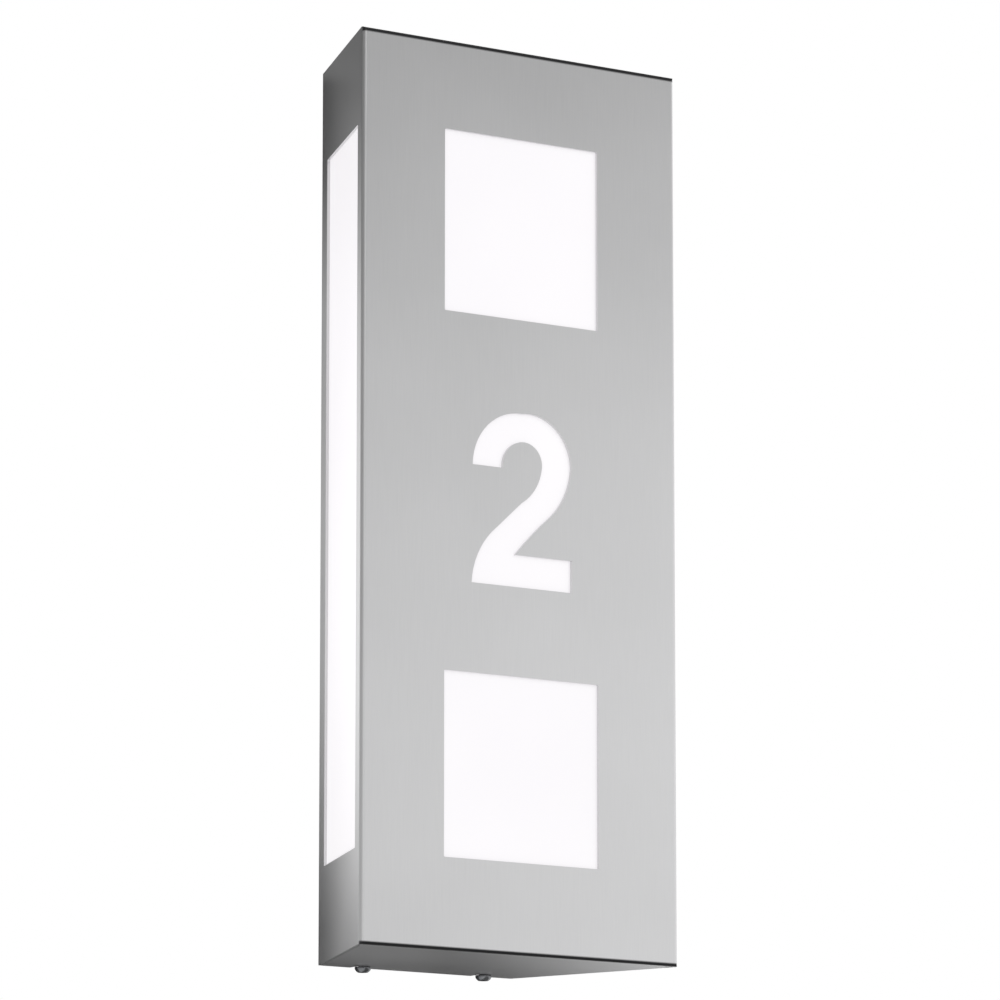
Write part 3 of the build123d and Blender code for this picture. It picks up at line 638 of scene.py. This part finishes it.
def look_along(azimuth, elevation):
    """Unit vector of a line of sight: azimuth turns from +Y towards +X, elevation rises."""
    return Vector((sin(azimuth) * cos(elevation), cos(azimuth) * cos(elevation), sin(elevation)))


def camera():
    """Long lens, unshifted, low on the viewer's left, from a fit to the photograph."""
    data = bpy.data.cameras.new("camera")
    data.sensor_width = SENSOR
    data.lens = SENSOR * LENS_PER_SENSOR
    eye = bpy.data.objects.new("camera", data)
    eye.location = EYE
    eye.rotation_mode = "QUATERNION"
    eye.rotation_quaternion = look_along(SIGHT_AZIMUTH, SIGHT_ELEVATION).to_track_quat("-Z", "Y")
    bpy.context.scene.collection.objects.link(eye)
    bpy.context.scene.camera = eye


def sheet_mesh(name, width, height, level, material):
    """Flat rectangle for the studio, which lies at level along its own Z."""
    x, y = width / 2, height / 2
    mesh = bpy.data.meshes.new(name)
    mesh.from_pydata([(-x, -y, level), (x, -y, level), (x, y, level), (-x, y, level)], [],
                     [(0, 1, 2, 3)])
    mesh.materials.append(material)
    made = bpy.data.objects.new(name, mesh)
    bpy.context.scene.collection.objects.link(made)
    return made


def grey_ramp(finish, factor, stops):
    """Ramp through (place, grey) pairs, a grey over 1 being brighter than white."""
    return finish.ramp(factor, *[(place, (grey,) * 3) for place, grey in stops])


def flag(name, centre, facing, width, height, upward=EVEN, across=EVEN):
    """Grey card that only reflections see, shaded from its foot to its top and from side to side.

    upward and across are (place, grey) pairs, the places from 0 to 1. The two are multiplied.
    """
    finish = Finish(name, base_color=BLACK, specular_ior_level=0.0, emission_strength=1.0)
    u, v = finish.axes(finish.node("TexCoord", {}, {}, "Generated"), "XY")
    finish.feed(Emission_Color=finish.node("Mix", {"data_type": "RGBA", "blend_type": "MULTIPLY"}, {
        "Factor": 1.0, "A": grey_ramp(finish, v, upward), "B": grey_ramp(finish, u, across),
    }, "Result"))
    made = sheet_mesh(name, width, height, 0.0, finish.material)
    made.location = centre
    made.rotation_mode = "QUATERNION"
    made.rotation_quaternion = Vector(facing).to_track_quat("Z", "Y")
    made.visible_camera = False
    made.visible_diffuse = False
    made.visible_shadow = False
    made.visible_transmission = False


def softbox(name, place, power):
    """Square lamp aimed at the sign. It lights matt surfaces and leaves no reflection."""
    data = bpy.data.lights.new(name, "AREA")
    data.shape = "SQUARE"
    data.size = SOFTBOX_SIZE
    data.energy = power
    made = bpy.data.objects.new(name, data)
    made.location = place
    made.rotation_mode = "QUATERNION"
    made.rotation_quaternion = (-Vector(place)).to_track_quat("-Z", "Y")
    made.visible_glossy = False
    bpy.context.scene.collection.objects.link(made)


def white_surround():
    """White for the camera and in reflections, softer light on matt surfaces."""
    world = bpy.data.worlds.new("white_surround")
    bpy.context.scene.world = world
    world.use_nodes = True
    surround = Nodes(world.node_tree)
    surround.tree.nodes.clear()
    seen, mirrored, through = (
        surround.node("LightPath", {}, {}, "Is " + ray + " Ray")
        for ray in ("Camera", "Glossy", "Transmission"))
    either = surround.node("Math", {"operation": "MAXIMUM"}, {0: seen, 1: mirrored})
    plain_white = surround.node("Math", {"operation": "MAXIMUM"}, {0: either, 1: through})
    soft = surround.node("Background", {}, {"Color": WHITE, "Strength": MATT_LIGHT})
    white = surround.node("Background", {}, {"Color": WHITE})
    mix = surround.node("MixShader", {}, {0: plain_white, 1: soft, 2: white})
    surround.node("OutputWorld", {}, {"Surface": mix})


def studio():
    """White surround, pale floor, three softboxes, and cards that shade the satin metal."""
    white_surround()
    sheet_mesh("floor", FLOOR_SIZE, FLOOR_SIZE, FLOOR_Z, floor_paint())
    softbox("key_softbox", (1.4, -2.2, 1.3), power=22)
    softbox("fill_softbox", (-1.8, -1.6, 0.6), power=8)
    softbox("rear_softbox", (0.4, 2.2, 1.2), power=14)

    # Behind the sign: seen in the bottom plate, and faintly in the left side.
    flag("rear_flag", (-0.35, 0.45, 0.0), (0, -1, 0), 1.7, 1.8,
         upward=((0.28, 0.20), (0.40, 0.28), (0.46, 1.25), (0.50, 1.40), (0.57, 1.20),
                 (0.67, 0.12)),
         across=((0.52, 0.65), (0.66, 1.0)))
    flag("rear_foot_flag", (0.52, 0.44, -0.36), (0, -1, 0), 0.44, 0.30,
         across=((0.05, 0.10), (0.40, 0.95)))
    flag("rear_edge_flag", (-0.034, 0.03, -0.004), (0, -1, 0), 0.056, 0.408,
         upward=((0.08, 0.09), (0.34, 0.41), (0.53, 0.46), (0.75, 0.37), (0.90, 0.06)))
    flag("rear_lip_flag", (0.01, 0.03, -0.2055), (0, -1, 0), 0.30, 0.009,
         upward=((0.0, 0.0), (1.0, 0.0)))

    # On the viewer's left: seen in the left side and in its fold.
    flag("left_flag", (-0.8, -0.1, 0.15), (1, 0, 0), 1.6, 1.6,
         upward=((0.35, 0.56), (0.50, 0.40), (0.66, 0.20)))
    flag("corner_flag", (-0.55, -0.90, 0.25), (0.5, 0.866, 0.0), 0.55, 1.1,
         upward=((0.0, 0.75), (0.45, 0.66), (1.0, 0.38)))

    # Towards the camera: seen only where a rounded corner faces it.
    flag("viewer_flag", (-0.66, -1.0, -0.27), (0.553, 0.814, 0.178), 0.6, 0.5,
         upward=((0.0, 0.15), (1.0, 0.35)))

    # Below and above the sign: seen in the folds at the two ends of the front.
    flag("under_flag", (0.24, -0.20, -0.5), (0, 0, 1), 0.5, 0.75,
         across=((0.10, 0.52), (0.35, 0.24)))
    flag("over_flag", (0.25, -0.15, 0.5), (0, 0, -1), 0.5, 0.7,
         upward=((0.0, 0.35), (1.0, 0.35)))

    # On the viewer's right: seen in the front.
    flag("front_flag", (0.44, -0.73, 0.14), (-0.553, 0.814, -0.178), 1.2, 1.2,
         upward=((0.30, 0.85), (0.46, 0.89), (0.78, 0.44)), across=((0.25, 1.25), (0.75, 0.85)))


paint_nodes()
threaded_pieces()
camera()
studio()

bpy.context.scene.view_settings.view_transform = "Standard"
